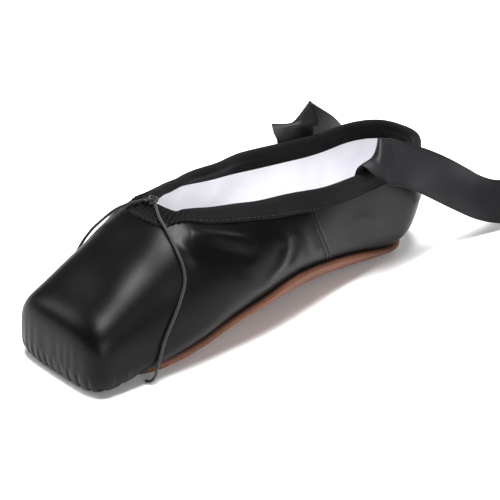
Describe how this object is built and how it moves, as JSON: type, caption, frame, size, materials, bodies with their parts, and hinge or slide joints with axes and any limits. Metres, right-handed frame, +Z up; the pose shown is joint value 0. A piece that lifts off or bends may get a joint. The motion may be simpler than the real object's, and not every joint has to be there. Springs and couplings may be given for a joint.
{
  "type": "pointe shoe",
  "caption": "Satin pointe shoe with a stiffened box and flat toe platform, drawstring binding, leather outsole, sock insole and two loose ribbons, standing empty on its sole.",
  "frame": {"origin": "centre of the shoe's footprint box on the floor it stands on, the loose strings and ribbons left out", "axes": "toe towards -Y, heel towards +Y, X across the shoe, +Z up"},
  "size_m": [0.2287, 0.3405, 0.0751],
  "materials": {
    "black_satin": "satin",
    "black_cotton_tape": "matte",
    "tan_leather": "matte",
    "white_sock": "matte"
  },
  "bodies": {
    "root": {"upper": "black_satin", "binding": "black_cotton_tape", "outsole": "tan_leather", "insole": "white_sock", "drawstring_knot": "black_cotton_tape", "drawstring_near": "black_cotton_tape", "drawstring_far": "black_cotton_tape", "ribbon_near": "black_satin", "ribbon_far": "black_satin"}
  },
  "joints": []
}
